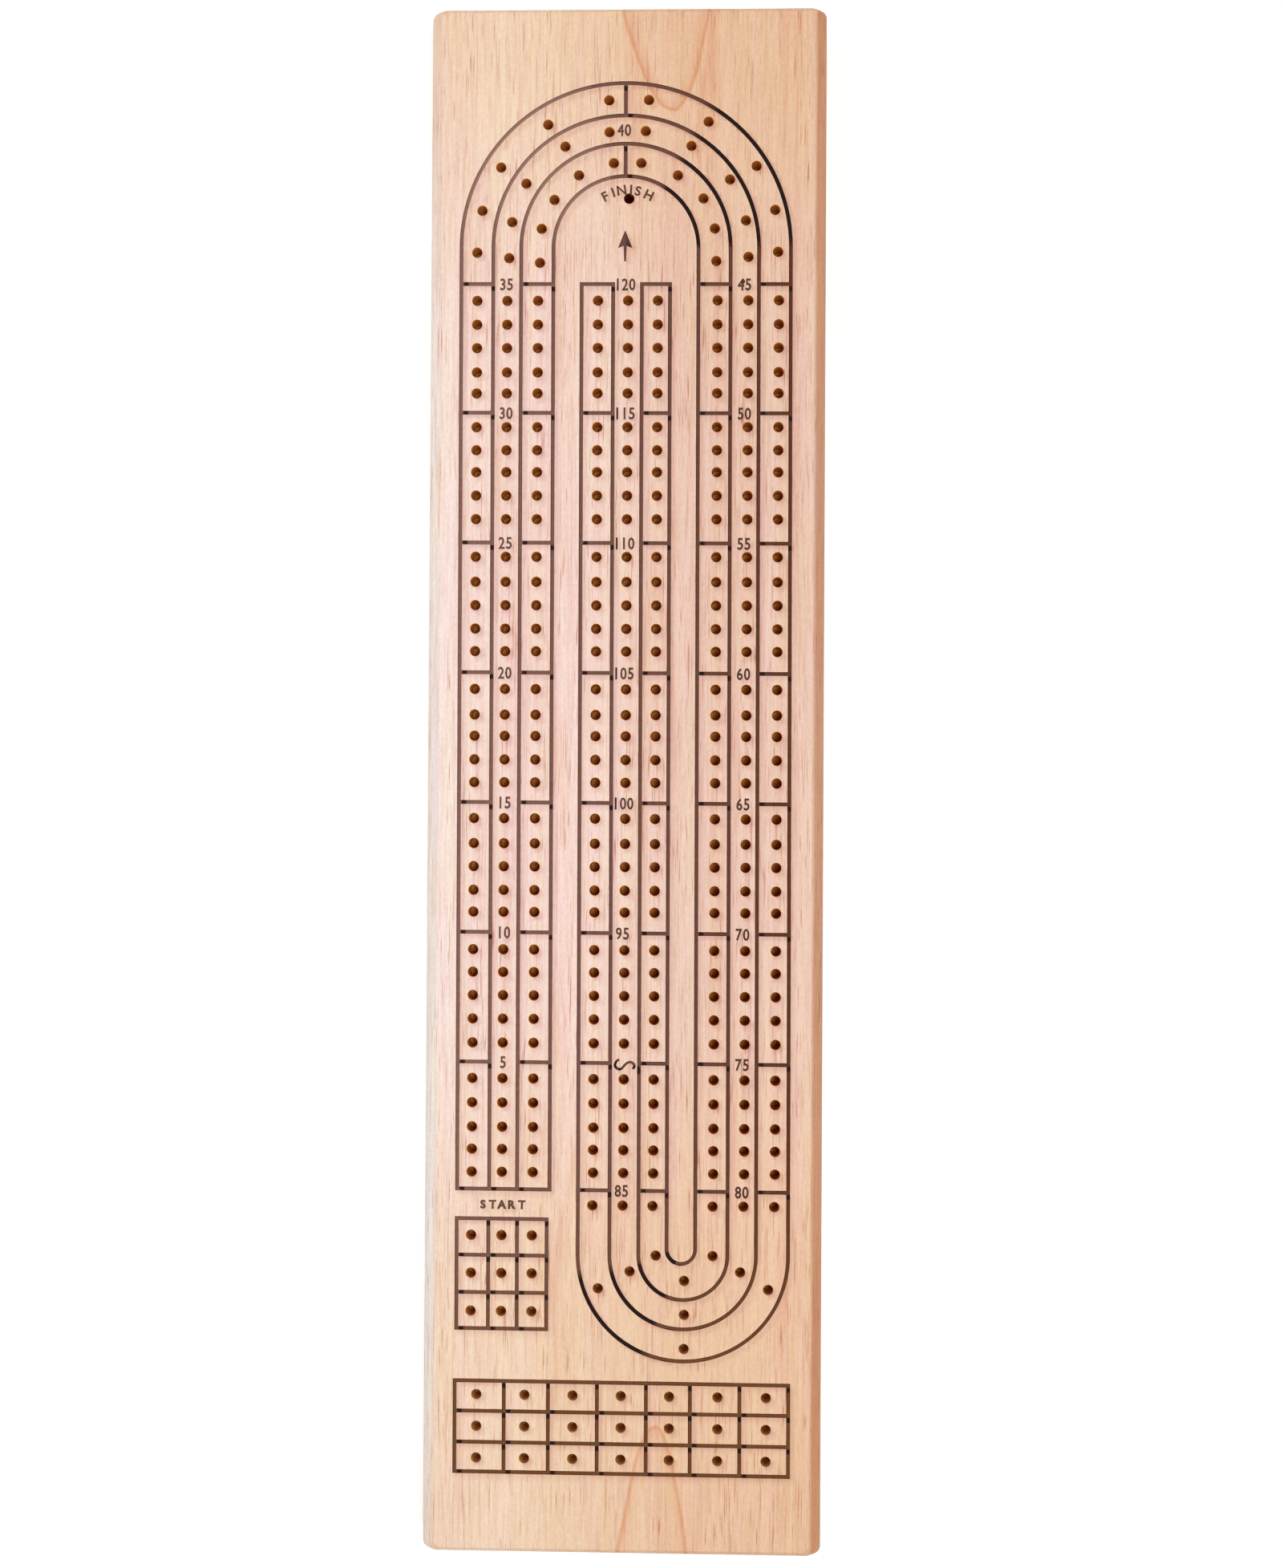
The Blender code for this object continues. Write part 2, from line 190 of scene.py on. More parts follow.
CURL_POINTS = (
    (-1.34, 1.16), (-1.89, 0.83), (-2.26, 0.16), (-2.31, -0.41), (-1.89, -0.92), (-1.25, -1.16),
    (-0.69, -0.95), (-0.14, -0.33), (0.42, 0.25), (1.06, 0.54), (1.71, 0.46), (2.22, 0.0), (2.26, -0.58),
    (1.89, -1.08),
)
ARROW_MIDDLE = (-0.62 * MM, 127.5 * MM)
ARROW_OUTLINE = (
    (0.0, 4.05), (-0.95, 1.70), (-1.74, -0.25), (-0.36, 0.25), (-0.24, -3.45), (0.24, -3.45), (0.36, 0.25),
    (1.74, -0.25), (0.95, 1.70),
)
FINISH_LETTERS = (
    ("F", -5.26, 139.7, 27), ("I", -3.35, 140.66, 19), ("N", -1.33, 141.2, 9), ("I", 0.96, 141.35, -3),
    ("S", 2.64, 141.0, -12), ("H", 5.24, 140.0, -25),
)
START_LETTERS = (("S", -33.6), ("T", -31.3), ("A", -29.1), ("R", -26.7), ("T", -24.3))
START_WORD_Y = -102.4

# Peg store in the underside, as the CAD has it
STORE_WIDTH = 38.6 * MM
WINDOW_Y = (-44.0 * MM, 44.0 * MM)
GROOVE_WIDTH = 44.2 * MM
GROOVE_Y = (-48.3 * MM, 48.3 * MM)
POCKET_Y = (2.0 * MM, 44.0 * MM)
LIP_THICKNESS = 1.8 * MM
GROOVE_TOP = 3.0 * MM
STORE_TOP = 9.6 * MM
STORE_CORNER = 1.5 * MM
GROOVE_CORNER = 3.0 * MM
OVERRUN = 1.0 * MM

# Holes, lines and letters are painted darker where a recess lies up to the left of a point, as painted
# shade, and the face beside them is tinted pinkish grey. These are the places up to the left of a point, in
# millimetres, where a recess is looked for: for the tint on the face, for the holes, and for the lines,
# where they lie past the point's own line
DOWN = Vector((0, 0, -1))
TINT_PROBES = tuple((-0.7 * reach, 0.7 * reach) for reach in (0.3, 0.7, 1.2, 1.8))
BORE_PROBES = tuple((-0.21 * step, 0.21 * step) for step in range(1, 11))
LINE_PROBES = tuple((-reach, reach) for reach in (0.95, 1.05, 1.15, 1.25))
# A recess counts from the least depth on, and is a hole if it is deeper than any line. A hole's painted
# shade grows by this share down to its bottom.
LEAST_RECESS = 0.05 * MM
LINE_LIMIT = 1.0 * MM
BORE_DEPTH_SHADE = 0.1
# On the arch and on the turn, the angle from straight up or down at which the line's painted shade is
# darkest, how far to each side of it the line stays black, and over how many degrees that fades. A bend
# begins at the least angle, and its points lie within a reach of its radius.
ARCH, TURN = 1, -1
DARKEST_ANGLES = {ARCH: 60.0, TURN: 50.0}
DARKEST_REACH = 18.0
SHADE_FADE = 16.0
LEAST_BEND = 12.0
BEND_REACH = 1.5 * LINE_HALF

# Pressed cover: rib outline, how far it stands out, and how its cross-section rounds over
COVER_CORNER = 3.0 * MM
COVER_EDGE = 0.12 * MM
COVER_THICKNESS = 0.6 * MM
RIB_SIZE = (14.0 * MM, 1.3 * MM)
RIB_MIDDLES_Y = (8.0 * MM, 10.6 * MM, 13.2 * MM)
RIB_STEPS = 6
RIB_LEAN = math.radians(88)
COVER_CREASE = math.radians(40)

# Turned peg, from its crown to its tip: radius and distance from the tip
PEG_SIDES = 40
PEG_CREASE = math.radians(32)
PEG_PROFILE = (
    (0.20, 28.00), (0.70, 27.97), (1.15, 27.84), (1.50, 27.60), (1.72, 27.30), (1.80, 26.95), (1.80, 25.25),
    (1.74, 25.05), (1.60, 24.88), (1.40, 24.70), (1.28, 24.50), (1.25, 24.25), (1.25, 18.00), (1.28, 17.75),
    (1.40, 17.55), (1.60, 17.38), (1.74, 17.22), (1.80, 17.00), (1.80, 15.30), (1.72, 15.10), (1.10, 14.55),
    (1.09, 14.20), (0.86, 0.42), (0.80, 0.22), (0.66, 0.08), (0.46, 0.00),
)

# Where along the board's width its ground colours stand, as shares
GROUND_PLACES = (0.03, 0.19, 0.37, 0.67)

# Camera and lamps, and how far the floor is lifted to white near the board and far out, in millimetres
CAMERA_PLACE = (24.87 * MM, -9.64 * MM, 594.74 * MM)
CAMERA_TURN = (0.819, 2.069, 0.321)
CAMERA_LENS = 55.24
CAMERA_SENSOR = 36.0
ROOM_LIGHT = 0.348
SIDE_LAMP = {"place": (-0.62, 0.42, 0.98), "size": 0.45, "power": 3.8}
TOP_LAMP = {"place": (0.30, -0.17, 1.46), "size": 0.45, "power": 10.4}
FLOOR_SIZE = 4.0
FLOOR_LIFT = (0.36, 0.8)
FLOOR_LIFT_REACH = (400.0, 1100.0)


def linear(code):
    """A colour written as sRGB hex, as the linear colour that Blender mixes."""
    shares = [int(code[i : i + 2], 16) / 255 for i in (1, 3, 5)]
    return (*(s / 12.92 if s <= 0.04045 else ((s + 0.055) / 1.055) ** 2.4 for s in shares), 1)


# Meshes


def piece_of(name, mesh):
    thing = bpy.data.objects.new(name, mesh)
    bpy.context.scene.collection.objects.link(thing)
    return thing


def closed_mesh(bm, name, *materials):
    bmesh.ops.recalc_face_normals(bm, faces=bm.faces)
    mesh = bpy.data.meshes.new(name)
    bm.to_mesh(mesh)
    bm.free()
    for material in materials:
        mesh.materials.append(material)
    return mesh


def skin(bm, rings):
    """A closed skin over rings of points."""
    rows = [[bm.verts.new(point) for point in ring] for ring in rings]
    for one, other in zip(rows, rows[1:]):
        for i in range(len(one)):
            j = (i + 1) % len(one)
            bm.faces.new((one[i], one[j], other[j], other[i]))
    bm.faces.new(rows[0])
    bm.faces.new(rows[-1])


def rounded_outline(width, length, corner, middle_y=0.0, steps=8):
    """Points round a rectangle with rounded corners."""
    points = []
    for quarter in range(4):
        side = math.radians(90 * quarter + 45)
        x = math.copysign(width / 2 - corner, math.cos(side))
        y = middle_y + math.copysign(length / 2 - corner, math.sin(side))
        for step in range(steps + 1):
            angle = math.radians(90) * (quarter + step / steps)
            points.append((x + corner * math.cos(angle), y + corner * math.sin(angle)))
    return points


def at_height(points, z):
    return [(x, y, z) for x, y in points]


def round_ring(x, y, radius, z, sides):
    turn = 2 * math.pi / sides
    return [(x + radius * math.cos(i * turn), y + radius * math.sin(i * turn), z) for i in range(sides)]


def shade(mesh, crease, crisp_levels):
    """Smooth shading, kept crisp where the surface turns by more than crease, or where a level face ends."""
    bm = bmesh.new()
    bm.from_mesh(mesh)
    for face in bm.faces:
        face.smooth = True
    for edge in bm.edges:
        level = [abs(face.normal.z) > LEVEL for face in edge.link_faces]
        ends_level = crisp_levels and any(level) and not all(level)
        edge.smooth = not ends_level and edge.calc_face_angle(math.pi) <= crease
    bm.to_mesh(mesh)
    bm.free()


def carve(thing, cutters):
    """Cuts each shape out of a piece. A cut face keeps the finish of the shape that cut it."""
    for cutter in cutters:
        cut = thing.modifiers.new(cutter.name, "BOOLEAN")
        cut.operation = "DIFFERENCE"
        cut.solver = "MANIFOLD"
        cut.material_mode = "TRANSFER"
        cut.object = cutter
    bake(thing)
    for cutter in cutters:
        bpy.data.objects.remove(cutter)


def bake(thing):
    """Makes a piece's modifiers part of its mesh."""
    graph = bpy.context.evaluated_depsgraph_get()
    mesh = bpy.data.meshes.new_from_object(thing.evaluated_get(graph), depsgraph=graph)
    thing.modifiers.clear()
    thing.data = mesh


# Board: slab and holes


def cut_back(depth, easing):
    """How far an eased edge is cut back at a depth under the face that it eases."""
    rise = max(0.0, 1 - depth / easing)
    return easing * (1 - (1 - rise**EASING_FULLNESS) ** (1 / EASING_FULLNESS))


def slab_levels():
    """Heights up the slab, with how far its long sides and its ends are cut back at each."""
    for share in reversed(EASING_SHARES):
        inset = cut_back(share * UNDERSIDE_EASING, UNDERSIDE_EASING)
        yield share * UNDERSIDE_EASING, inset, inset
    depths = [share * LONG_EDGE_CHAMFER for share in CHAMFER_SHARES]
    depths += [share * END_EDGE_EASING for share in EASING_SHARES]
    for depth in depths:
        yield BOARD_TOP - depth, cut_back(depth, LONG_EDGE_CHAMFER), cut_back(depth, END_EDGE_EASING)


def net_steps(size):
    """Where the lines of the net stand along one side of the top."""
    inner = size / 2 - NET_BORDER
    count = round(2 * inner / NET_CELL)
    return [inner * (2 * i / count - 1) for i in range(count + 1)]


def plain_slab(wood):
    """The slab as a skin over its levels, with a net of small faces in its top."""
    bm = bmesh.new()
    rings = []
    for height, aside, along in slab_levels():
        outline = rounded_outline(BOARD_WIDTH - 2 * aside, BOARD_LENGTH - 2 * along, CORNER_ROUNDING)
        rings.append(at_height(outline, height))
    skin(bm, rings)
    bm.faces.ensure_lookup_table()
    top = bm.faces[-1]
    rim = list(top.edges)
    bmesh.ops.delete(bm, geom=[top], context="FACES_ONLY")
    net = []
    for y in net_steps(BOARD_LENGTH):
        net.append([bm.verts.new((x, y, BOARD_TOP)) for x in net_steps(BOARD_WIDTH)])
    for near, far in zip(net, net[1:]):
        for i in range(len(near) - 1):
            bm.faces.new((near[i], near[i + 1], far[i + 1], far[i]))
    border = [*net[0], *net[-1]]
    for row in net:
        border += [row[0], row[-1]]
    for vertex in border:
        rim += [edge for edge in vertex.link_edges if edge.is_boundary]
    bmesh.ops.triangle_fill(bm, edges=list(dict.fromkeys(rim)))
    return piece_of("carved_board", closed_mesh(bm, "carved_board", wood))


def run_holes():
    for run in (-1, 0, 1):
        for lane in (-1, 0, 1):
            x = run * RUN_PITCH + lane * LANE_PITCH + LANE_STRAYS[run + 1][lane + 1] * MM
            for group in range(-3, 4):
                for hole in range(-2, 3):
                    stray = ROW_STRAYS[group + 3][hole + 2] * MM
                    yield x, RUNS_MIDDLE_Y + group * GROUP_PITCH + hole * HOLE_PITCH + stray


def arch_holes():
    for lane, angles, strays in zip((1, 0, -1), ARCH_ANGLES, ARCH_STRAYS):
        radius = RUN_PITCH + lane * LANE_PITCH
        holes = [(side, math.radians(angle)) for angle in angles for side in (-1, 1)]
        for (side, angle), (aside, along) in zip(holes, strays):
            x = side * radius * math.sin(angle)
            y = ARCH_MIDDLE_Y + radius * math.cos(angle)
            yield x + aside * MM, y + along * MM


def turn_holes():
    middle_x = RUN_PITCH / 2
    lanes = zip((1, 0, -1), map(math.radians, TURN_ANGLES), TURN_TIGHTENING, TURN_STRAYS)
    for lane, angle, tightening, strays in lanes:
        reach = RUN_PITCH / 2 + lane * LANE_PITCH
        radius = reach - tightening
        holes = [(middle_x, TURN_MIDDLE_Y - radius)]
        for side in (-1, 1):
            x = middle_x + side * radius * math.sin(angle)
            holes.append((x, TURN_MIDDLE_Y - radius * math.cos(angle)))
            holes.append((middle_x + side * reach, RUNS_END_Y - TURN_LEAD))
        for (x, y), (aside, along) in zip(holes, strays):
            yield x + aside * MM, y + along * MM


def start_and_game_holes():
    for row in (-1, 0, 1):
        for column in (-1, 0, 1):
            yield column * LANE_PITCH - RUN_PITCH, START_MIDDLE_Y + row * START_PITCH
        for column in range(-3, 4):
            yield GAMES_MIDDLE_X + column * GAMES_PITCH[0], GAMES_MIDDLE_Y + row * GAMES_PITCH[1]


def hole_places():
    yield from run_holes()
    yield from arch_holes()
    yield from turn_holes()
    yield from start_and_game_holes()
    yield FINISH_X, FINISH_Y


def hole_drills(bore):
    """All drills in one shape: a blunt point, a straight bore and an eased rim. A ring of points parts the
    wall of the bore, so that its faces are no long slivers."""
    bm = bmesh.new()
    bottom = BOARD_TOP - HOLE_DEPTH
    for x, y in hole_places():
        levels = (
            (HOLE_TIP, bottom),
            (HOLE_RADIUS, bottom + HOLE_POINT),
            (HOLE_RADIUS, BOARD_TOP - WALL_RING_DEPTH),
            (HOLE_RADIUS, BOARD_TOP - RIM_EASING),
            (HOLE_RADIUS + 3 * RIM_EASING, BOARD_TOP + 2 * RIM_EASING),
        )
        skin(bm, [round_ring(x, y, radius, z, HOLE_SIDES) for radius, z in levels])
    return piece_of("hole_drills", closed_mesh(bm, "hole_drills", bore))


def store_cutters(wood):
    """The window through the lips, the undercut groove for the cover, and the pocket for the pegs."""
    shapes = (
        ("store_window", STORE_WIDTH, WINDOW_Y, STORE_CORNER, -OVERRUN, LIP_THICKNESS + OVERRUN / 2),
        ("cover_groove", GROOVE_WIDTH, GROOVE_Y, GROOVE_CORNER, LIP_THICKNESS, GROOVE_TOP),
        ("peg_pocket", STORE_WIDTH, POCKET_Y, STORE_CORNER, GROOVE_TOP - OVERRUN / 2, STORE_TOP),
    )
    for name, width, (start, end), corner, low, high in shapes:
        bm = bmesh.new()
        outline = rounded_outline(width, end - start, corner, (start + end) / 2)
        skin(bm, [at_height(outline, low), at_height(outline, high)])
        yield piece_of(name, closed_mesh(bm, name, wood))


# Board: scorched lines, numbers and words


def leaning(x, y):
    """Where a place of the drawing lands on the board."""
    return x + LINE_LEAN * (y - RUNS_MIDDLE_Y), y + LINE_TILT * x


def stepped(start, end):
    """Points along a straight line, a line step apart."""
    count = max(1, round(math.dist(start, end) / LINE_STEP))
    return [tuple(a + (b - a) * i / count for a, b in zip(start, end)) for i in range(count + 1)]


def half_circle(start_x, end_x, y, upwards):
    """Points on a half circle from one x to another, over or under y."""
    middle, radius = (start_x + end_x) / 2, (start_x - end_x) / 2
    count = max(12, round(math.pi * abs(radius) / LINE_STEP))
    rise = abs(radius) if upwards else -abs(radius)
    turns = [math.pi * i / count for i in range(1, count)]
    return [(middle + radius * math.cos(t), y + rise * math.sin(t)) for t in turns]


def lane_lines():
    """The four lines between and beside the lanes. Each goes up the left run, over the arch, down the right
    run, round the turn and up the middle run."""
    left_run, middle_run, right_run = RUN_LINES_X
    lines = zip(left_run, reversed(right_run), middle_run, ARCH_LINES_Y, TURN_LINES_Y)
    for left, right, middle, arch_y, turn_y in lines:
        yield (
            stepped((left, CROSS_LINES_Y[-1] - LINE_HALF), (left, arch_y))
            + half_circle(left, right, arch_y, True)
            + stepped((right, arch_y), (right, turn_y))
            + half_circle(right, middle, turn_y, False)
            + stepped((middle, turn_y), (middle, CROSS_LINES_Y[0] + LINE_HALF))
        )


def box_lines(columns, rows, upright):
    """The upright or the level lines of a box of cells, each running just past the outer ones."""
    if upright:
        return [stepped((x, rows[-1] - LINE_HALF), (x, rows[0] + LINE_HALF)) for x in columns]
    return [stepped((columns[0] - LINE_HALF, y), (columns[-1] + LINE_HALF, y)) for y in rows]


def cross_lines():
    """Short lines over the two outer lanes at every fifth hole. The middle lane has its number there."""
    for run in RUN_LINES_X:
        for y in CROSS_LINES_Y:
            if (run, y) == (RUN_LINES_X[0], CROSS_LINES_Y[-1]):
                yield stepped((run[0], y), (run[3], y))
                continue
            yield stepped((run[0], y), (run[1], y))
            yield stepped((run[2], y), (run[3], y))
    arches = zip(RUN_LINES_X[0], reversed(RUN_LINES_X[2]), ARCH_LINES_Y)
    tops = [y + (right - left) / 2 for left, right, y in arches]
    yield stepped((CROWN_LINE_X, tops[0]), (CROWN_LINE_X, tops[1]))
    yield stepped((CROWN_LINE_X, tops[2]), (CROWN_LINE_X, tops[3]))


def curl_points():
    """The curl that stands at the ninetieth hole where the others have a number, as a smooth line."""
    ends = (CURL_POINTS[0],) + CURL_POINTS + (CURL_POINTS[-1],)
    points = []
    for a, b, c, d in zip(ends, ends[1:], ends[2:], ends[3:]):
        for share in (0.0, 0.25, 0.5, 0.75):
            points.append(tuple(curve_through(*values, share) * MM for values in zip(a, b, c, d)))
    points.append(tuple(value * MM for value in CURL_POINTS[-1]))
    return [(CURL_MIDDLE[0] + x, CURL_MIDDLE[1] + y) for x, y in points]


def curve_through(a, b, c, d, share):
    """A smooth value between b and c, with a and d as the values on either side of them."""
    steady = 2 * b + (c - a) * share
    bend = (2 * a - 5 * b + 4 * c - d) * share**2 + (3 * b - a - 3 * c + d) * share**3
    return (steady + bend) / 2


def burnt_groove(bm, points, half, depth):
    """The shape that one burnt line takes out: a shallow round-bottomed groove whose edges waver. It is
    wider where it runs down to the right, and narrower where it runs across."""
    rings = []
    for i, (x, y) in enumerate(points):
        before, after = points[max(i - 1, 0)], points[min(i + 1, len(points) - 1)]
        along = Vector((after[0] - before[0], after[1] - before[1])).normalized()
        waver = LINE_WAVER * noise.noise(Vector((x, y, 0)) / MM)
        reach = half * (1 + waver - LINE_SWELL * along.x * along.y)
        ring = []
        for u, v in LINE_SECTION:
            ring.append((x + along.y * u * reach, y - along.x * u * reach, BOARD_TOP + v * depth))
        rings.append(ring)
    skin(bm, rings)


def groove_cutter(name, lines, scorch, half=LINE_HALF):
    bm = bmesh.new()
    for line in lines:
        burnt_groove(bm, [leaning(x, y) for x, y in line], half, LINE_DEPTH)
    return piece_of(name, closed_mesh(bm, name, scorch))


def letter_shape(text, boldness):
    """One character of the built-in plain typeface as a closed block, its strokes grown bolder sideways."""
    curve = bpy.data.curves.new("letter", "FONT")
    curve.body = text
    curve.resolution_u = 4
    curve.extrude = 0.5
    letter = piece_of("letter", curve)
    graph = bpy.context.evaluated_depsgraph_get()
    mesh = bpy.data.meshes.new_from_object(letter.evaluated_get(graph))
    bpy.data.objects.remove(letter)
    bm = bmesh.new()
    bm.from_mesh(mesh)
    bmesh.ops.remove_doubles(bm, verts=bm.verts, dist=LETTER_WELD)
    bm.normal_update()
    moves = {}
    for vertex in bm.verts:
        walls = [face.normal for face in vertex.link_faces if abs(face.normal.z) < 0.5]
        one, other = walls[0], walls[-1]
        moves[vertex] = (one + other) / max(1 + one.dot(other), 0.5) * boldness
    for vertex, move in moves.items():
        vertex.co += move
    bm.to_mesh(mesh)
    bm.free()
    return mesh


def add_letter(bm, shapes, text, height, boldness, narrowing, x, y, tilt=0.0):
    """Adds one character of a given height, about its middle."""
    if (text, boldness) not in shapes:
        shapes[text, boldness] = letter_shape(text, boldness)
    mesh = shapes[text, boldness].copy()
    places = [vertex.co for vertex in mesh.vertices]
    low = Vector(map(min, zip(*places)))
    high = Vector(map(max, zip(*places)))
    rise = height / (high.y - low.y)
    scale = Matrix.Diagonal((rise * narrowing, rise, 2 * LETTER_DEPTH, 1))
    turn = Matrix.Rotation(math.radians(tilt), 4, "Z")
    place = Matrix.Translation((*leaning(x, y), BOARD_TOP))
    mesh.transform(place @ turn @ scale @ Matrix.Translation(-(low + high) / 2))
    bm.from_mesh(mesh)


def numbers():
    """Every fifth hole's number and its place: up the left run, down the right one and up the middle one."""
    left, middle, right = NUMBERS_X
    rows = [y - NUMBER_DROP for y in CROSS_LINES_Y]
    for place, y in enumerate(rows):
        counted = place * GROUP_HOLES
        if counted < LEFT_TOP_NUMBER:
            yield LEFT_TOP_NUMBER - counted, left, y
        yield RIGHT_TOP_NUMBER + counted, right, y
        if MIDDLE_TOP_NUMBER - counted != CURL_NUMBER:
            yield MIDDLE_TOP_NUMBER - counted, middle, y
    yield ARCH_NUMBER, *ARCH_NUMBER_PLACE


def word_cutter(letters):
    bm = bmesh.new()
    shapes = {}
    for number, x, y in numbers():
        digits = str(number)
        for i, digit in enumerate(digits):
            shift = (i - (len(digits) - 1) / 2) * DIGIT_PITCH
            add_letter(bm, shapes, digit, NUMBER_HEIGHT, NUMBER_BOLDNESS, DIGIT_NARROWING, x + shift, y)
    for letter, x, y, tilt in FINISH_LETTERS:
        add_letter(bm, shapes, letter, FINISH_HEIGHT, FINISH_BOLDNESS, 1.0, x * MM, y * MM, tilt)
    for letter, x in START_LETTERS:
        add_letter(bm, shapes, letter, START_HEIGHT, START_BOLDNESS, 1.0, x * MM, START_WORD_Y * MM)
    outline = [(ARROW_MIDDLE[0] + x * MM, ARROW_MIDDLE[1] + y * MM) for x, y in ARROW_OUTLINE]
    skin(bm, [at_height(outline, BOARD_TOP - LETTER_DEPTH), at_height(outline, BOARD_TOP + LETTER_DEPTH)])
    return piece_of("words", closed_mesh(bm, "words", letters))


def lane_bends():
    """The bends of the lane lines: middle, radius, and whether it is on the arch or on the turn."""
    left_run, middle_run, right_run = RUN_LINES_X
    lines = zip(left_run, reversed(right_run), middle_run, ARCH_LINES_Y, TURN_LINES_Y)
    for left, right, middle, arch_y, turn_y in lines:
        yield (left + right) / 2, arch_y, (right - left) / 2, ARCH
        yield (right + middle) / 2, turn_y, (right - middle) / 2, TURN


def bend_soot(point, bends):
    """Painted shading of a point in a bend: 1, painted shade, where the line runs down to the right, down to
    -1, painted light, where the arch runs across that way, and None for a point that isn't in a bend."""
    y = point.y - LINE_TILT * point.x
    x = point.x - LINE_LEAN * (y - RUNS_MIDDLE_Y)
    for middle_x, middle_y, radius, way in bends:
        aside, along = way * (x - middle_x), way * (y - middle_y)
        if along > 0 and abs(math.hypot(aside, along) - radius) < BEND_REACH:
            angle = math.degrees(math.atan2(aside, along))
            if abs(angle) < LEAST_BEND:
                break
            if angle < 0:
                return min(0.0, way * math.sin(2 * math.radians(angle)))
            off = abs(angle - DARKEST_ANGLES[way]) - DARKEST_REACH
            return min(1.0, max(0.0, 1 - off / SHADE_FADE))
    return None


def lay_soot(mesh, bore):
    """Marks each point of the worked top: painted shading for the recesses, from -1, painted light, to 1,
    painted shade, and a tint for the face around them, from 0 to 1."""
    shape = bmesh.new()
    shape.from_mesh(mesh)
    tree = BVHTree.FromBMesh(shape)
    shape.free()
    bends = list(lane_bends())

    def share_of(point, probes, shallowest, deepest):
        """How many of the probes around a point fall into a recess of the right depth."""
        found = 0
        for aside, along in probes:
            start = Vector((point.x + aside * MM, point.y + along * MM, BOARD_TOP + OVERRUN))
            hit = tree.ray_cast(start, DOWN)[0]
            found += hit is not None and shallowest < BOARD_TOP - hit.z < deepest
        return found / len(probes)

    def stain_of(point):
        return share_of(point, TINT_PROBES, LEAST_RECESS, BOARD_TOP)

    def bore_soot(point):
        """The finishing hole, beside its word, is painted in full shade all round."""
        if math.dist(point[:2], (FINISH_X, FINISH_Y)) < 2 * HOLE_RADIUS:
            return 1.0
        return share_of(point, BORE_PROBES, LINE_LIMIT, BOARD_TOP)

    def line_soot(point):
        bend = bend_soot(point, bends)
        return share_of(point, LINE_PROBES, LEAST_RECESS, LINE_LIMIT) if bend is None else bend

    # Painted shading of the recesses: above none it is painted shade, below none painted light
    painted_shading = mesh.attributes.new("painted_shading", "FLOAT", "POINT").data
    # A pinkish-grey tint of the face on the lower-right side of recesses
    recess_tint = mesh.attributes.new("recess_tint", "FLOAT", "POINT").data
    known = {}
    for face in mesh.polygons:
        material = mesh.materials[face.material_index]
        in_face = face.material_index == 0
        value_of = stain_of if in_face else bore_soot if material == bore else line_soot
        if face.center.z < BOARD_TOP - HOLE_DEPTH or in_face and face.normal.z < 0.9:
            continue
        for index in face.vertices:
            point = mesh.vertices[index].co
            if abs(point.x) > BOARD_WIDTH / 2 - NET_BORDER:
                continue
            if abs(point.y) > BOARD_LENGTH / 2 - NET_BORDER:
                continue
            key = (round(point.x, 5), round(point.y, 5), value_of)
            if key not in known:
                known[key] = value_of(point)
            # A hole is painted darker towards its bottom, as painted shade
            depth_shade = BORE_DEPTH_SHADE * (BOARD_TOP - point.z) / HOLE_DEPTH if value_of is bore_soot else 0.0
            marks = recess_tint if in_face else painted_shading
            marks[index].value = min(1.0, known[key] + depth_shade)


def make_board(wood, bore, scorch, letters):
    """The slab with everything cut into it. Upright and level lines are two cutters, because they cross."""
    board = plain_slab(wood)
    upright = list(lane_lines())
    upright += box_lines(START_LINES_X, START_LINES_Y, True)
    upright += box_lines(GAMES_LINES_X, GAMES_LINES_Y, True)
    level = list(cross_lines())
    level += box_lines(START_LINES_X, START_LINES_Y, False)
    level += box_lines(GAMES_LINES_X, GAMES_LINES_Y, False)
    carve(
        board,
        [
            *store_cutters(wood),
            hole_drills(bore),
            groove_cutter("lane_lines", upright, scorch),
            groove_cutter("cross_lines", level, scorch),
            groove_cutter("curl", [curl_points()], scorch, CURL_HALF),
            word_cutter(letters),
        ],
    )
    lay_soot(board.data, bore)
    shade(board.data, BOARD_CREASE, True)
    return board


# Cover and pegs


def make_cover(steel):
    """The plate with eased edges and three pressed ribs for a thumb."""
    low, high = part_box("peg_store_cover")
    top = high.z
    bottom = top - COVER_THICKNESS
    middle_y = (low.y + high.y) / 2
    bm = bmesh.new()
    rings = []
    for inset, z in (
        (COVER_EDGE, bottom),
        (0.3 * COVER_EDGE, bottom + 0.3 * COVER_EDGE),
        (0, bottom + COVER_EDGE),
        (0, top - COVER_EDGE),
        (0.3 * COVER_EDGE, top - 0.3 * COVER_EDGE),
        (COVER_EDGE, top),
    ):
        size = (high.x - low.x - 2 * inset, high.y - low.y - 2 * inset)
        rings.append(at_height(rounded_outline(*size, COVER_CORNER - inset, middle_y), z))
    skin(bm, rings)
    plate = piece_of("pressed_cover", closed_mesh(bm, "pressed_cover", steel))
    join = plate.modifiers.new("ribs", "BOOLEAN")
    join.operation = "UNION"
    join.solver = "MANIFOLD"
    join.object = rib_shape(bottom, bottom - low.z, steel)
    ribs = join.object
    bake(plate)
    bpy.data.objects.remove(ribs)
    shade(plate.data, COVER_CREASE, True)
    return plate


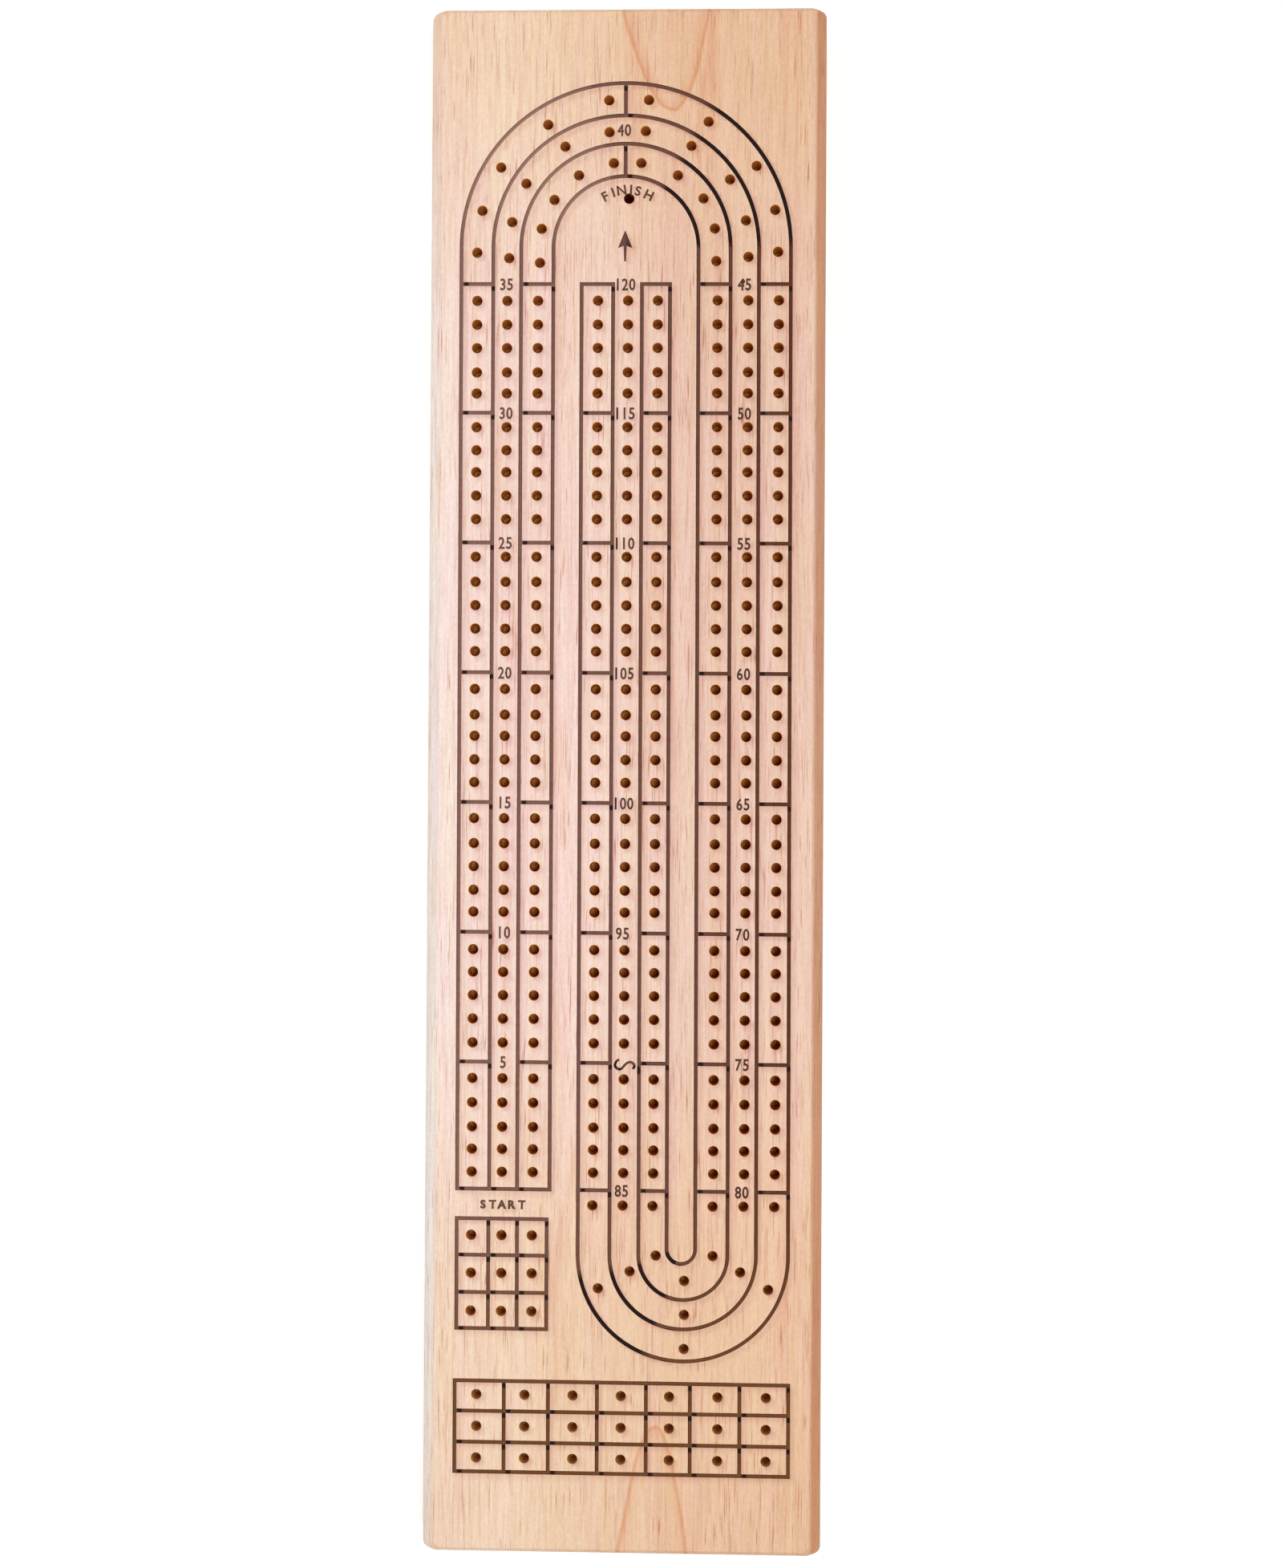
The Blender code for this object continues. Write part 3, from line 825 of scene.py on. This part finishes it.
def rib_shape(bottom, height, steel):
    """Three round-topped ribs that stand down from the plate."""
    bm = bmesh.new()
    for middle_y in RIB_MIDDLES_Y:
        outline = rounded_outline(*RIB_SIZE, RIB_SIZE[1] / 2, middle_y)
        rings = [at_height(outline, bottom + COVER_THICKNESS / 2)]
        for step in range(RIB_STEPS + 1):
            lean = RIB_LEAN * step / RIB_STEPS
            inset = RIB_SIZE[1] / 2 * (1 - math.cos(lean))
            size = (RIB_SIZE[0] - 2 * inset, RIB_SIZE[1] - 2 * inset)
            outline = rounded_outline(*size, size[1] / 2, middle_y)
            rings.append(at_height(outline, bottom - height * math.sin(lean) / math.sin(RIB_LEAN)))
        skin(bm, rings)
    return piece_of("ribs", closed_mesh(bm, "ribs", steel))


def make_peg(node, finish):
    """A peg turned round its own axis, laid where its CAD node lies: tip towards -Y."""
    low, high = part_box(node)
    bm = bmesh.new()
    skin(bm, [round_ring(0, 0, radius * MM, height * MM, PEG_SIDES) for radius, height in PEG_PROFILE])
    mesh = closed_mesh(bm, "turned_" + node, finish)
    lay = Matrix.Rotation(math.radians(-90), 4, "X")
    place = Matrix.Translation(((low.x + high.x) / 2, low.y, (low.z + high.z) / 2))
    mesh.transform(place @ lay)
    shade(mesh, PEG_CREASE, False)
    return piece_of("turned_" + node, mesh)


# Materials


def put(tree, kind, wired=None, out=0, stops=None, **settings):
    """Adds a node and returns one of its outputs. wired gives its inputs, each a value or another node's
    output, and stops a ramp's colours."""
    node = tree.nodes.new("ShaderNode" + kind)
    for name, value in settings.items():
        setattr(node, name, value)
    for i, (position, colour) in enumerate(stops or ()):
        marks = node.color_ramp.elements
        mark = marks[i] if i < len(marks) else marks.new(position)
        mark.position = position
        mark.color = colour if isinstance(colour, tuple) else (colour, colour, colour, 1)
    for name, value in (wired or {}).items():
        if isinstance(value, bpy.types.NodeSocket):
            tree.links.new(value, node.inputs[name])
        else:
            node.inputs[name].default_value = value
    return node.outputs[out]


def new_material(name, **sockets):
    """A material with its shader, and the values that are the same all over it."""
    material = bpy.data.materials.new(name)
    material.use_nodes = True
    shader = material.node_tree.nodes["Principled BSDF"]
    for socket, value in sockets.items():
        shader.inputs[socket.replace("_", " ")].default_value = value
    return material, material.node_tree, shader


def in_millimetres(tree):
    """The place on the object in millimetres."""
    place = put(tree, "TexCoord", out="Object")
    return put(tree, "VectorMath", {0: place, 1: (1000, 1000, 1000)}, operation="MULTIPLY")


def streaks(tree, place, width, length, detail=1.0, shift=0.0):
    """Noise in streaks along the board, so many millimetres wide and long."""
    size = (1 / width, 1 / length, 1 / width)
    drawn = put(tree, "VectorMath", {0: place, 1: size, 2: (shift, shift, shift)}, operation="MULTIPLY_ADD")
    return put(tree, "TexNoise", {"Vector": drawn, "Scale": 1.0, "Detail": detail}, out="Fac")


def toned(tree, colour, tone, share):
    """A colour multiplied by a tone, as far as share says."""
    wired = {0: share, 6: colour, 7: linear(tone) if isinstance(tone, str) else tone}
    return put(tree, "Mix", wired, out=2, data_type="RGBA", blend_type="MULTIPLY")


def ground_colour(tree, x, y):
    """Cream sapwood on the left that turns rosy to the right, and tan towards both ends. The left chamfer is
    palest, as painted light.
    """
    across = put(tree, "MapRange", {"Value": x, "From Min": -48.0, "From Max": 48.0})
    rosy = put(
        tree,
        "ValToRGB",
        {"Fac": across},
        stops=tuple(zip(GROUND_PLACES, map(linear, ("#FDECE5", "#F7DBD0", "#F8DDD2", "#ECCAB6")))),
    )
    tan = put(
        tree,
        "ValToRGB",
        {"Fac": across},
        stops=tuple(zip(GROUND_PLACES, map(linear, ("#F6DAC2", "#F7DCC2", "#F2D3B4", "#ECC5A2")))),
    )
    from_middle = put(tree, "Math", {0: y, 1: 25.0, 2: 0.0}, operation="SUBTRACT")
    from_middle = put(tree, "Math", {0: from_middle}, operation="ABSOLUTE")
    endness = put(
        tree,
        "MapRange",
        {"Value": from_middle, "From Min": 65.0, "From Max": 155.0},
        interpolation_type="SMOOTHSTEP",
    )
    ground = put(tree, "Mix", {0: endness, 6: rosy, 7: tan}, out=2, data_type="RGBA")
    # Painted light on the left chamfer, which faces the side lamp: paler down to the lower third, and then
    # tan again
    painted_light_left = put(tree, "MapRange", {"Value": x, "From Min": -44.4, "From Max": -46.0})
    rising = put(tree, "MapRange", {"Value": y, "From Min": 165.0, "From Max": -50.0})
    fading = put(tree, "MapRange", {"Value": y, "From Min": -178.0, "From Max": -125.0, "To Min": 0.45})
    painted_light_left = put(tree, "Math", {0: painted_light_left, 1: rising}, operation="MULTIPLY")
    painted_light_left = put(tree, "Math", {0: painted_light_left, 1: fading}, operation="MULTIPLY")
    return put(tree, "Mix", {0: painted_light_left, 6: ground, 7: linear("#FFFBF8")}, out=2, data_type="RGBA")


def grain_loop(tree, x, y, ripple, apex, upwards, right_spread, left_spread):
    """One growth ring that surfaces as a loop: a parabola with its apex in the board and an open end."""
    sideways = put(tree, "Math", {0: x, 1: apex[0]}, operation="SUBTRACT")
    along = put(tree, "Math", {0: y, 1: apex[1]}, operation="SUBTRACT")
    along = put(tree, "Math", {0: along, 1: 1 if upwards else -1}, operation="MULTIPLY")
    on_right = put(tree, "Math", {0: sideways, 1: 0.0}, operation="GREATER_THAN")
    closeness = put(
        tree,
        "Math",
        {0: on_right, 1: 1 / right_spread - 1 / left_spread, 2: 1 / left_spread},
        operation="MULTIPLY_ADD",
    )
    bend = put(tree, "Math", {0: sideways, 1: closeness}, operation="MULTIPLY")
    fall = put(tree, "Math", {0: sideways, 1: bend}, operation="MULTIPLY")
    inside = put(tree, "Math", {0: along, 1: fall}, operation="SUBTRACT")
    slope = put(tree, "Math", {0: bend, 1: bend}, operation="MULTIPLY")
    slope = put(tree, "Math", {0: slope, 1: 4.0, 2: 1.0}, operation="MULTIPLY_ADD")
    slope = put(tree, "Math", {0: slope}, operation="SQRT")
    distance = put(tree, "Math", {0: inside, 1: slope}, operation="DIVIDE")
    distance = put(tree, "Math", {0: distance, 1: ripple}, operation="ADD")
    measured = put(tree, "MapRange", {"Value": distance, "From Min": -1.0, "From Max": 5.0})
    # Sharp on the outside, where the summer's growth stopped, and soft on the inside
    stops = ((0.10, 0.0), (0.20, 1.0), (0.36, 0.34), (0.85, 0.0))
    return put(tree, "ValToRGB", {"Fac": measured}, stops=stops)


def growth_marks(tree, place, x, y):
    """Where the denser summer wood shows: two loops near the ends, and faint lines along the board."""
    ripple = streaks(tree, place, 5.0, 22.0, 2.0)
    ripple = put(tree, "Math", {0: ripple, 1: 1.6, 2: -0.8}, operation="MULTIPLY_ADD")
    top = grain_loop(tree, x, y, ripple, (10.8, 160.5), True, 3.2, 6.4)
    bottom = grain_loop(tree, x, y, ripple, (8.2, -154.6), False, 1.9, 2.7)
    loops = put(tree, "Math", {0: top, 1: bottom}, operation="MAXIMUM")
    # The rings lie about a pith 31 mm below the top, under the loops
    from_pith = put(tree, "VectorMath", {0: place, 1: (9.5, 0.0, -12.0)}, operation="SUBTRACT")
    from_pith = put(tree, "VectorMath", {0: from_pith, 1: (1.0, 0.0, 1.0)}, operation="MULTIPLY")
    radius = put(tree, "VectorMath", {0: from_pith}, out="Value", operation="LENGTH")
    drift = streaks(tree, place, 14.0, 150.0, 2.0)
    drift = put(tree, "Math", {0: drift, 1: 5.0}, operation="MULTIPLY")
    ring = put(tree, "Math", {0: radius, 1: 0.30, 2: drift}, operation="MULTIPLY_ADD")
    ring = put(tree, "Math", {0: ring}, operation="FRACT")
    lines = put(tree, "ValToRGB", {"Fac": ring}, stops=((0.0, 0.0), (0.5, 0.08), (0.9, 0.9), (1.0, 0.0)))
    patches = streaks(tree, place, 8.0, 50.0, 1.0, 11.0)
    shown = put(tree, "MapRange", {"Value": patches, "From Min": 0.45, "From Max": 0.75, "To Max": 0.45})
    lines = put(tree, "Math", {0: lines, 1: shown}, operation="MULTIPLY")
    return put(tree, "Math", {0: loops, 1: lines}, operation="MAXIMUM")


def pore_marks(tree, place):
    """Open pores cut lengthwise: short strokes, crowded in some places. Real ones are 0.1 mm wide, and are
    drawn about 0.25 mm wide so that they show."""
    short = streaks(tree, place, 0.26, 6.5, 0.0, 7.3)
    short = put(tree, "MapRange", {"Value": short, "From Min": 0.66, "From Max": 0.80})
    long = streaks(tree, place, 0.34, 20.0, 0.0, 3.1)
    long = put(tree, "MapRange", {"Value": long, "From Min": 0.70, "From Max": 0.82})
    marks = put(tree, "Math", {0: short, 1: long}, operation="MAXIMUM")
    crowd = streaks(tree, place, 3.0, 40.0, 1.0, 5.7)
    crowd = put(tree, "MapRange", {"Value": crowd, "From Min": 0.35, "From Max": 0.62, "To Min": 0.25})
    return put(tree, "Math", {0: marks, 1: crowd}, operation="MULTIPLY")


def hardwood():
    """Pale close-grained hardwood, planed, sanded and given a thin satin oil.

    The eye gets a cream ground that turns rosy and tan, narrow bands and fine fibre along the length, short
    red-brown pore strokes, a pair of grain loops, and a low sheen."""
    material, tree, shader = new_material("pale_hardwood", IOR=1.5)
    place = in_millimetres(tree)
    x = put(tree, "SeparateXYZ", {0: place}, out="X")
    y = x.node.outputs["Y"]
    colour = ground_colour(tree, x, y)
    # Bands about 2 mm wide that lean to cream or to pink, and wider ones that are a little darker
    hue = put(
        tree,
        "ValToRGB",
        {"Fac": streaks(tree, place, 2.6, 60.0, 2.0)},
        stops=((0.36, linear("#FFFFF8")), (0.64, linear("#FFFBFF"))),
    )
    colour = toned(tree, colour, hue, 1.0)
    wide = streaks(tree, place, 6.0, 90.0, 2.0, 2.4)
    wide = put(tree, "MapRange", {"Value": wide, "From Min": 0.45, "From Max": 0.75})
    colour = toned(tree, colour, "#FBF3EF", wide)
    # Fibre about half a millimetre wide
    fibre = streaks(tree, place, 0.55, 16.0, 2.0)
    thin = put(tree, "MapRange", {"Value": fibre, "From Min": 0.58, "From Max": 0.28})
    colour = toned(tree, colour, "#F4EDE8", thin)
    # Short fibre ends that break the streaks up
    flecks = streaks(tree, place, 0.45, 0.9, 1.0, 9.1)
    flecks = put(tree, "MapRange", {"Value": flecks, "From Min": 0.30, "From Max": 0.70})
    colour = toned(tree, colour, "#F6F3F0", flecks)
    growth = growth_marks(tree, place, x, y)
    colour = toned(tree, colour, "#F0CDB4", growth)
    pores = pore_marks(tree, place)
    colour = toned(tree, colour, "#DDB8AC", pores)
    # A pinkish-grey tint on the face beside holes and lines, on their lower-right side
    recess_tint = put(tree, "Attribute", out="Fac", attribute_name="recess_tint")
    colour = toned(tree, colour, "#E6CFCF", recess_tint)
    # The right chamfer is darker: partly the first of the darker heartwood, and partly painted shade on the
    # side that faces away from the light
    edge = put(tree, "MapRange", {"Value": x, "From Min": 45.0, "From Max": 45.6})
    colour = toned(tree, colour, "#EACBB2", edge)
    tree.links.new(colour, shader.inputs["Base Color"])
    gloss = put(tree, "Math", {0: pores, 1: 0.15, 2: 0.46}, operation="MULTIPLY_ADD")
    tree.links.new(gloss, shader.inputs["Roughness"])
    height = put(tree, "Math", {0: pores, 1: -1.5, 2: fibre}, operation="MULTIPLY_ADD")
    bump = put(tree, "Bump", {"Strength": 0.15, "Distance": 0.08 * MM, "Height": height})
    tree.links.new(bump, shader.inputs["Normal"])
    return material


def burnt_wood(name, browns, black, roughness, brown_up_to, black_from):
    """Wood browned by heat: one brown on the left, one on the right and one at the foot of the board. It is
    brown up to one share of painted shading, as black as it gets from another, which is painted shade, and
    paler where there is less than none, which is painted light.
    Char is dull, so it reflects little."""
    left, right, foot = map(linear, browns)
    material, tree, shader = new_material(name, IOR=1.5, Roughness=roughness, Specular_IOR_Level=0.2)
    place = in_millimetres(tree)
    x = put(tree, "SeparateXYZ", {0: place}, out="X")
    across = put(tree, "MapRange", {"Value": x, "From Min": -40.0, "From Max": 40.0})
    brown = put(tree, "Mix", {0: across, 6: left, 7: right}, out=2, data_type="RGBA")
    along = put(tree, "MapRange", {"Value": x.node.outputs["Y"], "From Min": -90.0, "From Max": -150.0})
    brown = put(tree, "Mix", {0: along, 6: brown, 7: foot}, out=2, data_type="RGBA")
    patch = put(tree, "TexNoise", {"Vector": place, "Scale": 0.9, "Detail": 2.0}, out="Fac")
    mottle = put(tree, "MapRange", {"Value": patch, "From Min": 0.3, "From Max": 0.7, "To Max": 0.6})
    brown = toned(tree, brown, "#E4DBD6", mottle)
    # The recesses' painted shading: past the first share it darkens towards black as painted shade
    painted_shading = put(tree, "Attribute", out="Fac", attribute_name="painted_shading")
    # Paler where the painted shading is below none: painted light on lines that run up to the right
    painted_light_share = put(tree, "MapRange", {"Value": painted_shading, "From Min": 0.0, "From Max": -4.0})
    brown = put(tree, "Mix", {0: painted_light_share, 6: brown, 7: linear("#D9AF98")}, out=2, data_type="RGBA")
    uneven = put(tree, "Math", {0: patch, 1: 0.12, 2: -0.06}, operation="MULTIPLY_ADD")
    painted_shading = put(tree, "Math", {0: painted_shading, 1: uneven}, operation="ADD")
    cover = put(tree, "MapRange", {"Value": painted_shading, "From Min": brown_up_to, "From Max": black_from})
    colour = put(tree, "Mix", {0: cover, 6: brown, 7: linear(black)}, out=2, data_type="RGBA")
    tree.links.new(colour, shader.inputs["Base Color"])
    bump = put(tree, "Bump", {"Strength": 0.2, "Distance": 0.05 * MM, "Height": patch})
    tree.links.new(bump, shader.inputs["Normal"])
    return material


def metal(name, bright, dull, roughness, marks, marks_depth):
    """A metal with fine tool marks, a colour that dulls in patches, and uneven polish."""
    material, tree, shader = new_material(name, Metallic=1.0)
    place = in_millimetres(tree)
    cloud = put(tree, "TexNoise", {"Vector": place, "Scale": 0.35, "Detail": 3.0}, out="Fac")
    lay = put(tree, "VectorMath", {0: place, 1: marks}, operation="MULTIPLY")
    lines = put(tree, "TexNoise", {"Vector": lay, "Scale": 1.0, "Detail": 2.0}, out="Fac")
    colour = put(tree, "ValToRGB", {"Fac": cloud}, stops=((0.38, linear(bright)), (0.66, linear(dull))))
    colour = toned(tree, colour, "#DAD8D4", lines)
    tree.links.new(colour, shader.inputs["Base Color"])
    worn = put(tree, "Math", {0: cloud, 1: 0.2, 2: roughness - 0.1}, operation="MULTIPLY_ADD")
    polish = put(tree, "Math", {0: lines, 1: 0.12, 2: worn}, operation="MULTIPLY_ADD")
    tree.links.new(polish, shader.inputs["Roughness"])
    bump = put(tree, "Bump", {"Strength": 0.25, "Distance": marks_depth, "Height": lines})
    tree.links.new(bump, shader.inputs["Normal"])
    return material


# Surroundings


def seen_directly(tree):
    """1 for rays from the camera and for mirrored ones, which see the white as it is."""
    camera_ray = put(tree, "LightPath", out="Is Camera Ray")
    glossy_ray = camera_ray.node.outputs["Is Glossy Ray"]
    return put(tree, "Math", {0: camera_ray, 1: glossy_ray}, operation="MAXIMUM")


def make_floor():
    """A white sheet of paper, faintly toothed. Seen directly it is lifted to full white, and keeps a soft
    shadow of the board. The lamps light it less farther out, so it is lifted more there."""
    bm = bmesh.new()
    bmesh.ops.create_grid(bm, x_segments=2, y_segments=2, size=FLOOR_SIZE / 2)
    material, tree, shader = new_material("white_sheet", Roughness=0.9)
    place = in_millimetres(tree)
    tooth = put(tree, "TexNoise", {"Vector": place, "Scale": 0.7, "Detail": 2.0}, out="Fac")
    paper = put(tree, "ValToRGB", {"Fac": tooth}, stops=((0.3, linear("#EFEEEC")), (0.7, linear("#F6F5F3"))))
    tree.links.new(paper, shader.inputs["Base Color"])
    reach = put(tree, "VectorMath", {0: place}, out="Value", operation="LENGTH")
    wired = {"Value": reach, "From Min": FLOOR_LIFT_REACH[0], "From Max": FLOOR_LIFT_REACH[1]}
    lift = put(tree, "MapRange", {**wired, "To Min": FLOOR_LIFT[0], "To Max": FLOOR_LIFT[1]})
    lift = put(tree, "Math", {0: seen_directly(tree), 1: lift}, operation="MULTIPLY")
    shader.inputs["Emission Color"].default_value = linear("#FFFFFF")
    tree.links.new(lift, shader.inputs["Emission Strength"])
    floor = piece_of("floor", closed_mesh(bm, "floor", material))


def make_room():
    """White walls all round."""
    world = bpy.data.worlds.new("white_room")
    bpy.context.scene.world = world
    world.use_nodes = True
    tree = world.node_tree
    back = tree.nodes["Background"]
    strength = put(tree, "MapRange", {"Value": seen_directly(tree), "To Min": ROOM_LIGHT, "To Max": 1.0})
    back.inputs["Color"].default_value = linear("#FFFFFF")
    tree.links.new(strength, back.inputs["Strength"])


def make_lamp(name, place, size, power):
    """A round soft lamp that shines at the middle of the board."""
    lamp = bpy.data.lights.new(name, "AREA")
    lamp.shape = "DISK"
    lamp.size = size
    lamp.energy = power
    holder = bpy.data.objects.new(name, lamp)
    bpy.context.scene.collection.objects.link(holder)
    holder.location = place
    holder.rotation_euler = (-Vector(place)).to_track_quat("-Z", "Y").to_euler()


def make_camera():
    """Straight above and a little to the right of the middle, as the photograph was taken."""
    lens = bpy.data.cameras.new("camera")
    lens.sensor_fit = "VERTICAL"
    lens.sensor_height = CAMERA_SENSOR
    lens.lens = CAMERA_LENS
    holder = bpy.data.objects.new("camera", lens)
    bpy.context.scene.collection.objects.link(holder)
    holder.location = CAMERA_PLACE
    holder.rotation_euler = [math.radians(angle) for angle in CAMERA_TURN]
    bpy.context.scene.camera = holder
    bpy.context.scene.view_settings.view_transform = "Standard"


def stand_for(piece, node, slot):
    """The piece takes the place of its CAD node and moves with that node's body."""
    bodies = frame["record"]["behaviour"]["bodies"]
    body = next(name for name, nodes in bodies.items() if node in nodes)
    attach(piece, body)
    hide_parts(node)


def main():
    make_camera()
    make_floor()
    make_room()
    # One lamp high on the upper left, and one nearly overhead that reaches down into the holes
    make_lamp("side_lamp", **SIDE_LAMP)
    make_lamp("top_lamp", **TOP_LAMP)
    wood = hardwood()
    # A drill browns the wall of its hole; painted shade darkens it on its lower-right side and towards its
    # bottom
    bore = burnt_wood("burnished_bore", ("#F0A24C", "#EA9A46", "#FFCA80"), "#742408", 0.6, 0.1, 1.0)
    # A burnt line is brown char. Painted shade turns it black where it runs down to the right and just past
    # crossings, and painted light makes it paler where the arch runs up to the right
    scorch = burnt_wood("scorched_line", ("#8B665C", "#603620", "#744A28"), "#1C0A05", 0.8, 0.1, 0.5)
    # Numbers and words are brown char, brown near their upper-left edges and black further in as painted
    # shade
    letters = burnt_wood("scorched_letters", ("#7C5A4C", "#563826", "#563624"), "#1C0E0A", 0.8, 0.3, 1.4)
    stand_for(make_board(wood, bore, scorch, letters), "board", "pale_hardwood")
    # Rolled sheet steel: fine lines along the rolling direction and a soft grey gloss
    steel = metal("rolled_steel", "#D3D2CE", "#C8C7C3", 0.34, (6.0, 0.12, 6.0), 0.01 * MM)
    stand_for(make_cover(steel), "peg_store_cover", "sheet_steel")
    # Turned metals: rings from the lathe tool, about 0.1 mm apart, drawn 0.15 mm apart so that they show
    turned = (0.2, 6.5, 0.2)
    finishes = {
        "brass": metal("polished_brass", "#E3BE72", "#C59A4E", 0.22, turned, 0.006 * MM),
        "nickel": metal("nickel_plate", "#CFCAC2", "#B4AEA5", 0.20, turned, 0.006 * MM),
        "black": metal("black_nickel", "#3A3A3E", "#26262A", 0.24, turned, 0.006 * MM),
    }
    slots = {"brass": "polished_brass", "nickel": "nickel_plate", "black": "black_nickel_plate"}
    for node in frame["nodes"]:
        if node.startswith("peg_") and node != "peg_store_cover":
            finish = node.split("_")[1]
            stand_for(make_peg(node, finishes[finish]), node, slots[finish])


main()
